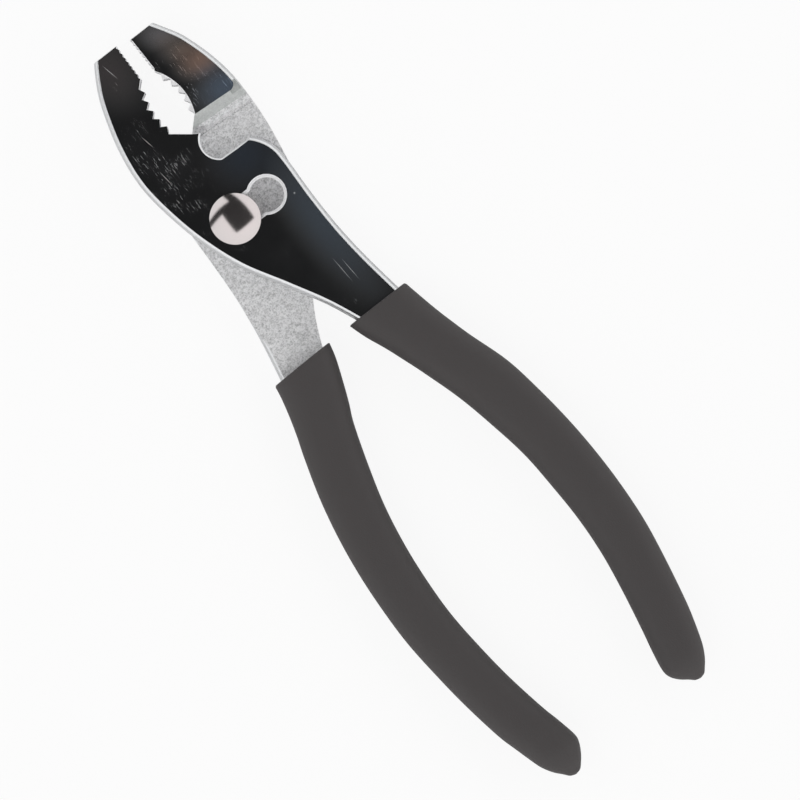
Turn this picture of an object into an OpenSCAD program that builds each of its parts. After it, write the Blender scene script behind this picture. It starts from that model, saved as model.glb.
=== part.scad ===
// Slip joint pliers: two crossed steel forgings on a bolt that shifts between two holes,
// with a dipped grip on each handle. The tool lies on its back and the jaws point along +Y.
// The origin is on the bolt's axis, in the plane that the tool lies on.

/* [Overall] */
// Bolt axis to the tip of the front jaw
jaw_reach = 49.5; // [45:0.1:55]
// Bolt axis to the far end of the grips
handle_reach = 153.4; // [142:0.1:168]
// Width of a forging across the joint
head_w = 31.3; // [29:0.1:34]
// Width across the handles at their widest
handle_spread = 63.3; // [59:0.1:68]
// Angle by which the jaws stand open
rest_open = 4; // [3:0.5:8]

/* [Forgings] */
// Thickness of the jaws, between the polished faces
forging_t = 10; // [9:0.1:11.5]
// Thickness of the shanks where they enter the grips
shank_t = 7; // [6.5:0.1:8]
// Thickness of the cores inside the grips
core_t = 7; // [5:0.1:8]
// How far the sides slope outwards from a polished face to the middle
draft_w = 1.15; // [0.7:0.05:1.5]
// Height of the bright edge beside a polished face
edge_h = 0.4; // [0.2:0.05:0.8]
// Gap between the two halves where they lap
lap_gap = 0.2; // [0.1:0.05:0.4]

/* [Jaws] */
// Number of fine teeth on a jaw's flat
fine_teeth = 8; // [6:1:12]
// Depth of the fine teeth
fine_d = 0.35; // [0.2:0.05:0.5]
// Number of coarse teeth in a jaw's pipe hollow
pipe_teeth = 5; // [4:1:7]
// Depth of the coarse teeth
pipe_d = 1.15; // [0.6:0.05:1.4]
// How far the pipe hollow curves into the front jaw
front_hollow = 1.2; // [0.8:0.1:2]
// How far the pipe hollow curves into the rear jaw
rear_hollow = 1.5; // [0.8:0.1:2.2]
// Radius of the wire cutting notch
notch_r = 4.6; // [3.8:0.1:5]
// Height of the ledge on the step behind a jaw
ledge_h = 1.75; // [1:0.05:2.5]
// Width of that ledge
ledge_w = 0.8; // [0.4:0.1:1.2]
// Width of the milled groove at the foot of the step
groove_w = 0.5; // [0.3:0.1:0.8]

/* [Pivot] */
// Distance between the two pivot holes
shift = 9.4; // [8.8:0.1:10]
// Diameter of the bolt's journal
bolt_d = 8; // [7:0.1:8.4]
// Width across the bolt's two flats
flats_w = 6; // [5:0.1:6.4]
// Diameter of the bolt's head
head_d = 12.2; // [11.4:0.1:13]
// Height of the bolt's domed head
head_h = 1.8; // [1.2:0.1:2.2]
// Height of the straight rim of the head
rim_h = 0.35; // [0.2:0.05:0.6]
// Width of the chamfer round the slot
slot_rim = 0.75; // [0.4:0.05:1]
// Clearance of the journal in the rear half, on the radius
journal_fit = 0.05; // [0.02:0.01:0.1]
// Clearance of the bolt in the slot, on each side
slot_fit = 0.1; // [0.05:0.05:0.2]
// Gap under the bolt's head
head_gap = 0.1; // [0.05:0.05:0.2]
// Diameter of the thread that the nut is on
thread_d = 5.8; // [5:0.1:6.4]
// Width of the nut across its flats
nut_w = 10; // [9:0.1:11]
// Thickness of the nut
nut_t = 2.4; // [2:0.1:3]
// How far the nut stands out of the rear half
nut_stand = 1; // [0.8:0.1:1.2]
// Clearance round and over the nut in its recess
nut_gap = 0.25; // [0.15:0.05:0.4]

/* [Grips] */
// Width of the grips at their mouths
grip_w = 16.7; // [15.6:0.1:18]
// Thickness of the grips
grip_t = 12; // [11.6:0.1:13]
// Wall of the grips beside the core
grip_wall = 2.2; // [1.8:0.1:2.6]
// Gap between a grip and its steel
grip_fit = 0.05; // [0.02:0.01:0.1]

/* [Hidden] */

// Heights, from the plane that the tool lies on
lap_z = nut_stand + forging_t/2;
face_z = nut_stand + forging_t;
// Overrun of the cuts
over = 1;
// Steps of the drawn curves on each side of a forging, and sides of round things
left_steps = 5;
right_steps = 3;
round_sides = 72;

// Where the cores begin, as a share of handle_reach, and how far the necks lap onto them
core_from_share = -0.267;
core_lap = 0.05;
// Where the necks end, as a share of jaw_reach: past the start of the cores
neck_share = min(-0.825, (core_from_share*handle_reach - core_lap)/jaw_reach);

// Outlines of the forgings at their widest level, seen on the polished face with the jaw on
// the left: across as shares of head_w, along as shares of jaw_reach
front_left_shares = [
    [-0.075, 1.046], [-0.196, 0.926], [-0.285, 0.805], [-0.378, 0.604], [-0.416, 0.402],
    [-0.383, 0.201], [-0.310, 0.000], [-0.192, -0.201], [-0.013, -0.402], [0.160, -0.604],
    [0.307, neck_share]
];
front_right_shares = [
    [0.677, neck_share], [0.642, -0.684], [0.604, -0.503], [0.581, -0.322], [0.578, -0.121],
    [0.588, 0.060], [0.581, 0.151], [0.537, 0.221], [0.470, 0.272], [0.399, 0.294]
];
rear_left_shares = [
    [-0.262, 1.046], [-0.419, 0.905], [-0.482, 0.825], [-0.546, 0.714], [-0.594, 0.584],
    [-0.610, 0.443], [-0.610, 0.302], [-0.588, 0.141], [-0.553, 0.000], [-0.435, -0.201],
    [-0.256, -0.402], [-0.086, -0.604], [0.042, neck_share]
];
rear_right_shares = [
    [0.415, neck_share], [0.383, -0.684], [0.351, -0.513], [0.332, -0.322], [0.335, -0.121],
    [0.345, 0.060], [0.339, 0.151], [0.294, 0.221], [0.227, 0.272], [0.157, 0.294]
];

// Corners of a jaw's cut edge: tip, end of the flat, both ends of the pipe hollow, throat
front_jaw_shares = [[0.096, 1.000], [0.090, 0.805], [0.030, 0.769], [0.001, 0.515], [0.134, 0.449]];
rear_jaw_shares = [
    [-0.093, 0.989], [-0.117, 0.800], [-0.147, 0.775], [-0.192, 0.526], [-0.086, 0.453]
];
// Where in its pitch a coarse tooth has its point
tooth_point_share = 0.42;
// Centres of the cutting notches, and the angles that they run between
front_notch_shares = [0.275, 0.348];
rear_notch_shares = [0.067, 0.348];
notch_from = 124;
notch_to = 239;
notch_steps = 12;
// The straight edge below the notch, as a share of jaw_reach
edge_share = 0.264;

// The step behind a jaw, along as shares of jaw_reach: its foot, its ledge and its top
foot_share = 0.433;
ledge_share = 0.471;
step_top_share = 0.522;
// Radius that the step is relieved to round the bolt's axis, as a share of jaw_reach, and how
// far the relief reaches from the notch's corner, as a share of head_w
relief_share = 0.475;
relief_reach_share = 0.18;
// The slope from the lap down to the shank: its direction, and where it starts and how long
// it is as shares of head_w
ramp_angle = -38.3;
front_ramp_share = 0.55;
rear_ramp_share = 0.364;
ramp_share = 0.256;
ramp_steps = 8;

// Grips, each row a station: along as a share of handle_reach, middle as a share of
// handle_spread, width as a share of grip_w, thickness as a share of grip_t, slant of the end
front_grip_shares = [
    [-0.238, 0.222, 1.000, 1, 0], [core_from_share, 0.240, 0.970, 1, 0],
    [-0.300, 0.265, 0.910, 1, 0], [-0.332, 0.289, 0.880, 1, 0], [-0.365, 0.314, 0.862, 1, 0],
    [-0.430, 0.363, 0.868, 1, 0],
    [-0.495, 0.393, 0.838, 1, 0], [-0.561, 0.415, 0.802, 1, 0], [-0.626, 0.423, 0.796, 1, 0],
    [-0.691, 0.423, 0.778, 1, 0], [-0.756, 0.411, 0.772, 1, 0], [-0.821, 0.385, 0.766, 1, 0],
    [-0.887, 0.352, 0.760, 1, 0], [-0.919, 0.333, 0.749, 1, 0], [-0.952, 0.313, 0.707, 0.96, 0],
    [-0.968, 0.307, 0.629, 0.88, 0], [-0.981, 0.309, 0.473, 0.73, 0],
    [-0.991, 0.314, 0.287, 0.52, 0], [-1.000, 0.316, 0.090, 0.22, 0]
];
rear_grip_shares = [
    [-0.243, 0.097, 0.988, 1, -0.09], [core_from_share, 0.106, 0.964, 1, -0.05],
    [-0.300, 0.126, 0.916, 1, 0], [-0.332, 0.148, 0.886, 1, 0], [-0.365, 0.174, 0.856, 1, 0],
    [-0.430, 0.213, 0.838, 1, 0],
    [-0.495, 0.242, 0.802, 1, 0], [-0.561, 0.258, 0.778, 1, 0], [-0.626, 0.262, 0.760, 1, 0],
    [-0.691, 0.256, 0.749, 1, 0], [-0.756, 0.235, 0.743, 1, 0], [-0.821, 0.207, 0.743, 1, 0],
    [-0.887, 0.172, 0.725, 1, 0], [-0.919, 0.147, 0.719, 1, 0], [-0.952, 0.122, 0.689, 0.96, 0],
    [-0.967, 0.115, 0.623, 0.88, 0], [-0.982, 0.109, 0.479, 0.73, 0],
    [-0.993, 0.105, 0.311, 0.52, 0], [-1.004, 0.103, 0.108, 0.22, 0]
];
// How square the sections are, and the stations that the core runs between
grip_square = 2.7;
core_square = 5;
section_sides = 24;
core_first = 1;
core_last = 15;
station_steps = 2;

// Points and curves
function mix(a, b, t) = a + (b - a)*t;
function unit(v) = v/norm(v);
function right_of(v) = [v[1], -v[0]];
function reverse(list) = [for (i = [len(list) - 1 : -1 : 0]) list[i]];
function head_point(share) = [share[0]*head_w, share[1]*jaw_reach];
function head_points(shares) = [for (share = shares) head_point(share)];

// A smooth curve through points or rows of values
function between(a, b, c, d, t) =
    (2*b + (c - a)*t + (2*a - 5*b + 4*c - d)*t*t + (3*b - a - 3*c + d)*t*t*t)/2;
function curve(points, steps) = let (last = len(points) - 1) [
    for (i = [0 : last - 1], k = [0 : steps - 1])
        between(points[max(i - 1, 0)], points[i], points[i + 1], points[min(i + 2, last)], k/steps),
    points[last]
];

// A closed outline, running anticlockwise, drawn in by a distance
function drawn_in(edge, distance) = let (n = len(edge)) [
    for (i = [0 : n - 1]) let (
        before = unit(right_of(edge[i] - edge[(i + n - 1) % n])),
        after = unit(right_of(edge[(i + 1) % n] - edge[i])),
        normal = unit(before + after)
    ) edge[i] - normal*distance/max(normal*after, 1/2)
];

function at_height(points, z) = [for (p = points) [p[0], p[1], z]];

// A skin over rings of equal, even count, closed at both ends by strips from side to side
module skin(rings) {
    n = len(rings[0]);
    last = (len(rings) - 1)*n;
    polyhedron(
        points = [for (ring = rings, p = ring) p],
        faces = [
            for (i = [0 : n/2 - 2]) [i, i + 1, n - 2 - i, n - 1 - i],
            for (i = [0 : n/2 - 2]) [last + n - 1 - i, last + n - 2 - i, last + i + 1, last + i],
            for (r = [0 : n : last - n], i = [0 : n - 1]) [r + i, r + n + i, r + n + (i + 1) % n],
            for (r = [0 : n : last - n], i = [0 : n - 1]) [r + i, r + n + (i + 1) % n, r + (i + 1) % n]
        ]
    );
}

// A prism whose outline is drawn across and upwards, pushed along the level at an angle
module push(outline, angle, length) {
    rotate([90, 0, angle])
        translate([0, 0, -length/2])
            linear_extrude(length)
                polygon(outline);
}

// The whole outline of a forging: its left side, its right side and a line up past the jaw that
// gives the right as many points as the left
function outline(left_shares, right_shares) = let (
    left = curve(head_points(left_shares), left_steps),
    right = curve(head_points(right_shares), right_steps),
    end = right[len(right) - 1],
    more = len(left) - len(right)
) concat(left, right, [for (i = [1 : more]) [end[0], mix(end[1], left[0][1], i/more)]]);

// A forging before it is cut, about the lap's plane, with its polished face on top
module blank(left_shares, right_shares, grow) {
    edge = outline(left_shares, right_shares);
    top = forging_t/2;
    skin([
        at_height(drawn_in(edge, draft_w - grow), -top - grow),
        at_height(drawn_in(edge, draft_w - edge_h - grow), edge_h - top),
        at_height(drawn_in(edge, -grow), 0),
        at_height(drawn_in(edge, draft_w - edge_h - grow), top - edge_h),
        at_height(drawn_in(edge, draft_w - grow), top + grow)
    ]);
}

// The fine teeth of a flat, from its tip to its end
function fine_edge(tip, end) = let (inwards = right_of(unit(end - tip))) [
    for (i = [0 : fine_teeth - 1], half = [0, 1])
        mix(tip, end, (i + half/2)/fine_teeth) + inwards*half*fine_d,
    end
];

// The coarse teeth of a pipe hollow, which curves into the jaw
function pipe_edge(high, low, hollow) = let (inwards = right_of(unit(low - high))) [
    for (i = [0 : pipe_teeth - 1], point = [0, 1]) let (t = (i + point*tooth_point_share)/pipe_teeth)
        mix(high, low, t) + inwards*(hollow*4*t*(1 - t) - point*pipe_d),
    low
];

function notch_edge(centre) = [
    for (i = [0 : notch_steps]) let (a = mix(notch_from, notch_to, i/notch_steps))
        centre + notch_r*[cos(a), sin(a)]
];

// All that is cut off beyond a jaw's tip and inner edge, the notch and the straight edge
module jaw_cut(jaw_shares, notch_shares, hollow, slant) {
    jaw = head_points(jaw_shares);
    tip = jaw[0];
    far_y = jaw_reach + head_w;
    edge_y = edge_share*jaw_reach;
    translate([0, 0, -forging_t])
        linear_extrude(2*forging_t)
            polygon(concat(
                [[-head_w, tip[1] + (head_w + tip[0])*tan(slant)]],
                fine_edge(jaw[0], jaw[1]),
                pipe_edge(jaw[2], jaw[3], hollow),
                [jaw[4]],
                notch_edge(head_point(notch_shares)),
                [[notch_shares[0]*head_w - notch_r*cos(notch_to - notch_from), edge_y]],
                [[head_w, edge_y], [head_w, far_y], [-head_w, far_y]]
            ));
}

// What is cut away under the polished face, where the other half laps this one: up to the
// step behind the jaw, and down a slope to the shank
module lap_cut(notch_shares, ramp_share_from) {
    lap = lap_gap/2;
    deep = -forging_t;
    top = forging_t/2;
    foot = foot_share*jaw_reach;
    ledge = ledge_share*jaw_reach;
    reach = head_w + jaw_reach;
    ramp_from = ramp_share_from*head_w + shift*cos(ramp_angle);
    ramp_to = ramp_from + ramp_share*head_w;
    shank_z = forging_t/2 - shank_t;
    corner = head_point(notch_shares) + notch_r*[cos(notch_from), sin(notch_from)];
    intersection() {
        union() {
            push([
                [-reach, deep],
                [-reach, lap],
                [foot - groove_w, lap],
                [foot - groove_w/2, lap + groove_w/2],
                [foot, lap],
                [ledge - ledge_w, -ledge_h],
                [ledge, -ledge_h - lap_gap],
                [step_top_share*jaw_reach, -top],
                [step_top_share*jaw_reach, deep]
            ], 90, 2*reach);
            intersection() {
                translate([0, 0, deep])
                    cylinder(h = lap - deep, r = relief_share*jaw_reach, $fn = round_sides);
                translate([corner[0] - relief_reach_share*head_w, 0, deep])
                    cube([reach, reach, lap - deep]);
            }
        }
        push(concat(
            [[-reach, deep], [-reach, lap]],
            [for (i = [0 : ramp_steps]) let (t = i/ramp_steps)
                [mix(ramp_from, ramp_to, t), mix(lap, shank_z, t*t*(3 - 2*t))]],
            [[reach, shank_z], [reach, deep]]
        ), ramp_angle, 2*reach);
    }
}

// The core that carries a grip, made of the grip's own stations less its wall
function section(row, across, up, square) = [
    for (i = [0 : section_sides - 1]) let (
        a = 360*i/section_sides,
        x = sign(cos(a))*pow(abs(cos(a)), 2/square)*(row[2]*grip_w/2 + across),
        z = sign(sin(a))*pow(abs(sin(a)), 2/square)*(row[3]*grip_t/2 + up)
    ) [row[1]*handle_spread + x, row[0]*handle_reach + row[4]*x, z]
];

module core(stations, grow) {
    rows = curve([for (i = [core_first : core_last]) stations[i]], station_steps);
    up = (core_t - grip_t)/2 + grow;
    last = len(rows) - 1;
    skin([
        for (i = [0 : last])
            [for (p = section(rows[i], grow - grip_wall, up, core_square))
                p - [0, (i == last ? grow : 0), 0]]
    ]);
}

// A finished forging, about the lap's plane
module forging(left_shares, right_shares, jaw_shares, notch_shares, hollow, slant,
        ramp_share_from, stations) {
    difference() {
        blank(left_shares, right_shares, 0);
        jaw_cut(jaw_shares, notch_shares, hollow, slant);
        lap_cut(notch_shares, ramp_share_from);
    }
    core(stations, 0);
}

// A dipped grip about the lap's plane, closed on the shank and the core
module grip(left_shares, right_shares, stations) {
    difference() {
        skin([for (row = curve(stations, station_steps)) section(row, 0, 0, grip_square)]);
        core(stations, grip_fit);
        difference() {
            blank(left_shares, right_shares, grip_fit);
            translate([-handle_spread, -handle_reach, forging_t/2 - shank_t - grip_fit - forging_t])
                cube([2*handle_spread, handle_reach, forging_t]);
        }
    }
}

// The two holes and the waist that the bolt shifts through, chamfered at the polished face
module slot() {
    r = bolt_d/2 + slot_fit;
    half_waist = flats_w/2 + slot_fit;
    top = forging_t/2;
    for (x = [0, shift]) {
        translate([x, 0, -over])
            cylinder(h = top + 2*over, r = r, $fn = round_sides);
        translate([x, 0, top - slot_rim])
            cylinder(h = slot_rim + over, r1 = r, r2 = r + slot_rim + over, $fn = round_sides);
    }
    translate([0, -half_waist, -over])
        cube([shift, 2*half_waist, top + 2*over]);
    translate([shift/2, 0, 0])
        push([
            [-half_waist, top - slot_rim],
            [half_waist, top - slot_rim],
            [half_waist + slot_rim + over, top + over],
            [-half_waist - slot_rim - over, top + over]
        ], 90, shift);
}

// Turns a forging over, so that its polished face is at the back, and opens it
module turned_over() {
    translate([0, 0, lap_z])
        rotate([0, 0, -rest_open])
            rotate([0, 180, 0])
                children();
}

module front_half() {
    color("silver")
        translate([0, 0, lap_z])
            difference() {
                forging(front_left_shares, front_right_shares,
                    front_jaw_shares, front_notch_shares, front_hollow, 0,
                    front_ramp_share, front_grip_shares);
                slot();
            }
}

module rear_half() {
    recess_r = nut_w/2/cos(30) + nut_gap;
    recess_d = nut_t - nut_stand + nut_gap;
    color("gainsboro")
        turned_over()
            difference() {
                forging(rear_left_shares, rear_right_shares,
                    rear_jaw_shares, rear_notch_shares, rear_hollow, rest_open,
                    rear_ramp_share, rear_grip_shares);
                translate([0, 0, -over])
                    cylinder(h = forging_t, r = bolt_d/2 + journal_fit, $fn = round_sides);
                translate([0, 0, forging_t/2 - recess_d])
                    cylinder(h = recess_d + over, r = recess_r, $fn = round_sides);
            }
}

// Bolt: domed head, a length with two flats in the slot, a journal in the rear half, a thread
module pivot_bolt() {
    journal_z = nut_t;
    head_z = face_z + head_gap;
    dome_h = head_h - rim_h;
    dome_r = (head_d*head_d/4 + dome_h*dome_h)/(2*dome_h);
    color("whitesmoke") {
        translate([0, 0, head_z])
            intersection() {
                cylinder(h = head_h, d = head_d, $fn = round_sides);
                translate([0, 0, head_h - dome_r])
                    sphere(r = dome_r, $fn = 2*round_sides);
            }
        translate([0, 0, lap_z])
            intersection() {
                cylinder(h = head_z - lap_z, d = bolt_d, $fn = round_sides);
                translate([-bolt_d, -flats_w/2, 0])
                    cube([2*bolt_d, flats_w, head_z - lap_z]);
            }
        translate([0, 0, journal_z])
            cylinder(h = lap_z - journal_z, d = bolt_d, $fn = round_sides);
        cylinder(h = journal_z, d = thread_d, $fn = round_sides);
    }
}

module pivot_nut() {
    color("darkgray")
        difference() {
            cylinder(h = nut_t - nut_gap/2, d = nut_w/cos(30), $fn = 6);
            translate([0, 0, -over])
                cylinder(h = nut_t + 2*over, d = thread_d + 2*journal_fit, $fn = round_sides);
        }
}

module front_grip() {
    color("dimgray")
        translate([0, 0, lap_z])
            grip(front_left_shares, front_right_shares, front_grip_shares);
}

module rear_grip() {
    color("dimgray")
        turned_over()
            grip(rear_left_shares, rear_right_shares, rear_grip_shares);
}

front_half();
rear_half();
pivot_bolt();
pivot_nut();
front_grip();
rear_grip();
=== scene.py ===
"""Slip joint pliers on a pale floor: two forged halves, a domed bolt with its nut, dipped grips."""

import math

import bmesh
import bpy
from mathutils import Matrix, Vector


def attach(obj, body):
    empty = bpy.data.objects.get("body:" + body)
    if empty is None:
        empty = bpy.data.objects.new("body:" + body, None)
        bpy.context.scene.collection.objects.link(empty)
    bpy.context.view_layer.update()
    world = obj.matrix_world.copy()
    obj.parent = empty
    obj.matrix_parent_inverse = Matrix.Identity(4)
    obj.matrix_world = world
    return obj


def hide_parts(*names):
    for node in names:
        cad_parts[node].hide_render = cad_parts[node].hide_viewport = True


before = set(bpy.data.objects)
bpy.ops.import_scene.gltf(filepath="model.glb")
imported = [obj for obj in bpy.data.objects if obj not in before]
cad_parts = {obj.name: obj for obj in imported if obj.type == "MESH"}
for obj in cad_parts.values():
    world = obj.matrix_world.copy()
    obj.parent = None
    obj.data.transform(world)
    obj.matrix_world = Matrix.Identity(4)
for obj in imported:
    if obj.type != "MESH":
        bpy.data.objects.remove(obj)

bl_info = {
    "name": "Slip joint pliers",
    "version": (1, 0, 0),
    "blender": (4, 5, 0),
    "location": "View3D > Sidebar > Pliers",
    "description": "Makes slip joint pliers and a plain studio",
    "category": "Object",
}

# Outlines of the two forgings at their widest level, seen on the polished face with the jaw on
# the left: across as shares of head_w, along as shares of jaw_reach
FRONT_LEFT = [
    (-0.075, 1.046), (-0.196, 0.926), (-0.285, 0.805), (-0.378, 0.604), (-0.416, 0.402),
    (-0.383, 0.201), (-0.310, 0.000), (-0.192, -0.201), (-0.013, -0.402), (0.160, -0.604),
    (0.307, -0.825),
]
FRONT_RIGHT = [
    (0.677, -0.825), (0.642, -0.684), (0.604, -0.503), (0.581, -0.322), (0.578, -0.121),
    (0.588, 0.060), (0.581, 0.151), (0.537, 0.221), (0.470, 0.272), (0.399, 0.294),
]
REAR_LEFT = [
    (-0.262, 1.046), (-0.419, 0.905), (-0.482, 0.825), (-0.546, 0.714), (-0.594, 0.584),
    (-0.610, 0.443), (-0.610, 0.302), (-0.588, 0.141), (-0.553, 0.000), (-0.435, -0.201),
    (-0.256, -0.402), (-0.086, -0.604), (0.042, -0.825),
]
REAR_RIGHT = [
    (0.415, -0.825), (0.383, -0.684), (0.351, -0.513), (0.332, -0.322), (0.335, -0.121),
    (0.345, 0.060), (0.339, 0.151), (0.294, 0.221), (0.227, 0.272), (0.157, 0.294),
]

# Corners of a jaw's cut edge: tip, end of the flat, both ends of the pipe hollow, throat
FRONT_JAW = [(0.096, 1.000), (0.090, 0.805), (0.030, 0.769), (0.001, 0.515), (0.134, 0.449)]
REAR_JAW = [(-0.093, 0.989), (-0.117, 0.800), (-0.147, 0.775), (-0.192, 0.526), (-0.086, 0.453)]
FRONT_NOTCH = (0.275, 0.348)
REAR_NOTCH = (0.067, 0.348)

# Grips, each row a station: along as a share of handle_reach, middle as a share of
# handle_spread, width as a share of grip_w, thickness as a share of grip_t, slant of the end
FRONT_GRIP = [
    (-0.238, 0.222, 1.000, 1, 0), (-0.267, 0.240, 0.970, 1, 0), (-0.300, 0.265, 0.910, 1, 0),
    (-0.332, 0.289, 0.880, 1, 0), (-0.365, 0.314, 0.862, 1, 0), (-0.430, 0.363, 0.868, 1, 0),
    (-0.495, 0.393, 0.838, 1, 0), (-0.561, 0.415, 0.802, 1, 0), (-0.626, 0.423, 0.796, 1, 0),
    (-0.691, 0.423, 0.778, 1, 0), (-0.756, 0.411, 0.772, 1, 0), (-0.821, 0.385, 0.766, 1, 0),
    (-0.887, 0.352, 0.760, 1, 0), (-0.919, 0.333, 0.749, 1, 0), (-0.952, 0.313, 0.707, 0.96, 0),
    (-0.968, 0.307, 0.629, 0.88, 0), (-0.981, 0.309, 0.473, 0.73, 0),
    (-0.991, 0.314, 0.287, 0.52, 0), (-0.9975, 0.3155, 0.165, 0.32, 0),
    (-1.000, 0.316, 0.030, 0.08, 0),
]
REAR_GRIP = [
    (-0.243, 0.097, 0.988, 1, -0.09), (-0.267, 0.106, 0.964, 1, -0.05),
    (-0.300, 0.126, 0.916, 1, 0), (-0.332, 0.148, 0.886, 1, 0), (-0.365, 0.174, 0.856, 1, 0),
    (-0.430, 0.213, 0.838, 1, 0), (-0.495, 0.242, 0.802, 1, 0), (-0.561, 0.258, 0.778, 1, 0),
    (-0.626, 0.262, 0.760, 1, 0), (-0.691, 0.256, 0.749, 1, 0), (-0.756, 0.235, 0.743, 1, 0),
    (-0.821, 0.207, 0.743, 1, 0), (-0.887, 0.169, 0.749, 1, 0), (-0.919, 0.144, 0.740, 1, 0),
    (-0.952, 0.119, 0.711, 0.96, 0), (-0.967, 0.113, 0.637, 0.88, 0),
    (-0.982, 0.109, 0.479, 0.73, 0), (-0.993, 0.105, 0.311, 0.52, 0),
    (-1.001, 0.104, 0.175, 0.33, 0), (-1.004, 0.104, 0.030, 0.08, 0),
]

# Shares of jaw_reach: the straight edge beside the notch, the foot, ledge and top of the step
# under a jaw, and how far the lap reaches round the bolt
NOTCH_EDGE_SHARE, LAP_SHARE = 0.264, 0.475
FOOT_SHARE, LEDGE_SHARE, STEP_SHARE = 0.433, 0.471, 0.522

# Shares of head_w: where the slope down to the shank starts on each half, how long it is, and
# what the lap clears beside the notch
FRONT_SLOPE_SHARE, REAR_SLOPE_SHARE = 0.55, 0.364
SLOPE_LENGTH_SHARE, CLEAR_SHARE = 0.256, 0.18

# Degrees: where the notch's arc and its bright rim start, where both end, the lip below them, and
# the way that the slope runs
NOTCH_START, RIM_START, NOTCH_END, LIP_ANGLE, SLOPE_WAY = 124, 130, 239, 115, -38.3

# Rows of teeth: how many, and where a tooth's point stands along its pitch
FINE_TEETH, FINE_POINT_SHARE = 7, 0.5
PIPE_TEETH, PIPE_POINT_SHARE = 5, 0.42

# The forged side from the middle up to where it rounds over, as inset and height in millimetres
SIDE = [(0, 0), (0.03, 0.8), (0.2, 3), (0.35, 4)]

# The slot's stepped rim, as growth and depth in shares of slot_rim
SLOT_RIM = [(0, 1.45), (0.4, 1.25), (0.55, 0.45), (1, 0), (2, -1.4)]

# Millimetres that a cutter runs past what it cuts, and the clearance of a turned bore
OVERRUN = 2
BORE_FIT = 0.05

# Painted reflections on the polished steel, tinted soft spots in place of what the steel mirrors:
# colour, strength, and then in millimetres the place across and along, half width and half
# length of a soft spot, and its slope
FRONT_PAINTED_REFLECTIONS = [
    ((0.25, 0.22, 0.22), 0.16, -2, 46, 11, 15),
    ((0.21, 0.26, 0.32), 0.2, 16, -13, 10, 34),
    ((0.16, 0.21, 0.29), 0.1, 11, 11, 13, 13),
]
REAR_PAINTED_REFLECTIONS = [
    ((0.36, 0.345, 0.36), 0.3, 13, 44.5, 6.5, 8, -0.4),
    ((0.35, 0.28, 0.24), 0.3, 15, 39, 7, 8, -0.4),
    ((0.43, 0.28, 0.22), 0.4, 17, 34.2, 9, 7.5, -0.3),
    ((0.20, 0.26, 0.35), 0.32, 17, 26, 11, 9.5),
]
# the bolt's one spot is a painted reflection too, which lifts the dark that its dome mirrors
BOLT_PAINTED_REFLECTIONS = [((0.66, 0.59, 0.59), 0.04, 1, -1, 12, 12)]

# Longer scratches on the front half, as spots, and where each half is scratched the most
FRONT_STREAKS = [
    (-2, 45.5, 0.16, 3.4, -0.2), (-7, 17.5, 0.14, 3, -0.1), (12.6, -25, 0.13, 5, -0.05),
    (14.2, -26, 0.12, 4.5, -0.05), (14.8, -3.8, 0.4, 0.4), (-5.2, 27, 0.13, 2.5, -0.2),
]
FRONT_WORN, REAR_WORN = (-9, 17), (15, 26)

# Grained finishes of a forging, in the order of their material numbers: name, colour, metallic,
# roughness, grains per metre, mottling, and the bump's strength and depth in metres
GRAINED = [
    ("forged side", "forged", 0.9, 0.32, 1800, 0.15, 0.25, 0.00008),
    ("machined", "machined", 0.2, 0.45, 3200, 0.15, 0.25, 0.00008),
    ("blasted", "blasted", 0.1, 0.6, 2600, 0.9, 0.5, 0.00015),
    ("milled", "blasted", 0.1, 0.6, 2600, 0.9, 0.5, 0.00015),
    # the ramp's darker colour is painted shade for its steep face
    ("ground", "ground", 0.3, 0.5, 2600, 0.4, 0.4, 0.0001),
    ("teeth", "machined", 0.1, 0.5, 3200, 0.1, 0.2, 0.00005),
]

# Material numbers on a forging
POLISHED, FORGED, MACHINED, BLASTED, MILLED, SHADED_RAMP, TOOTHED = range(7)


# Sizes and colours


def millimetres(text, value, description):
    return bpy.props.FloatProperty(
        name=text, description=description, default=value, min=0, precision=3
    )


def degrees(text, value, description):
    return bpy.props.FloatProperty(
        name=text, description=description, default=value, min=0, max=30, precision=2
    )


def colour(text, value, description):
    return bpy.props.FloatVectorProperty(
        name=text, description=description, subtype="COLOR", size=3, min=0, max=1, default=value
    )


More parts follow.
